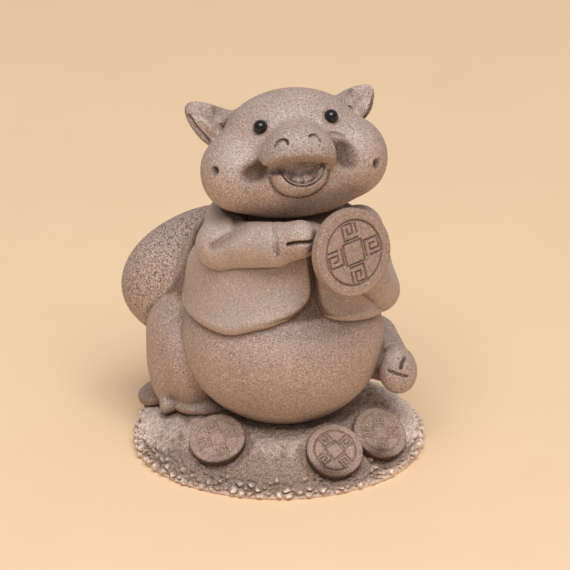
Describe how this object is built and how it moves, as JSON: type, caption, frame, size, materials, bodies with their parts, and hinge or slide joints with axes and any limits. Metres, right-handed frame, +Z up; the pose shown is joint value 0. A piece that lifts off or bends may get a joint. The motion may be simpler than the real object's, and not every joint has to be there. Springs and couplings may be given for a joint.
{
  "type": "pig figurine",
  "caption": "Seated stoneware pig in an open waistcoat, hugging a large coin, with a sack on its back, on an oval mound strewn with coins.",
  "frame": {"origin": "middle of the flat underside of the mound, where the figure rests", "axes": "+Z up, the pig faces -Y, its left hand and the held coin lie towards +X"},
  "size_m": [0.0644, 0.058, 0.082],
  "materials": {
    "stoneware_body": "matte",
    "stoneware_cloth": "matte",
    "stoneware_sack": "matte",
    "stoneware_coin": "matte",
    "stoneware_mound": "matte",
    "black_glass": "gloss"
  },
  "bodies": {
    "root": {"belly_front_shell": "stoneware_body", "back_shell": "stoneware_body", "face_shell": "stoneware_body", "skull_shell": "stoneware_body", "snout": "stoneware_body", "lower_jaw": "stoneware_body", "tongue": "stoneware_body", "ear_right": "stoneware_body", "ear_left": "stoneware_body", "sleeve_right": "stoneware_body", "hand_right": "stoneware_body", "sleeve_left": "stoneware_body", "hand_left": "stoneware_body", "leg_right": "stoneware_body", "foot_right": "stoneware_body", "leg_left": "stoneware_body", "foot_left": "stoneware_body", "tail": "stoneware_body", "waistcoat_right_front": "stoneware_cloth", "waistcoat_left_front": "stoneware_cloth", "waistcoat_back": "stoneware_cloth", "sack": "stoneware_sack", "sack_mouth": "stoneware_sack", "held_coin": "stoneware_coin", "coin_front_right": "stoneware_coin", "coin_front_middle": "stoneware_coin", "coin_front_left": "stoneware_coin", "coin_back_right": "stoneware_coin", "base_mound": "stoneware_mound", "eye_bead_right": "black_glass", "eye_bead_left": "black_glass"}
  },
  "joints": []
}
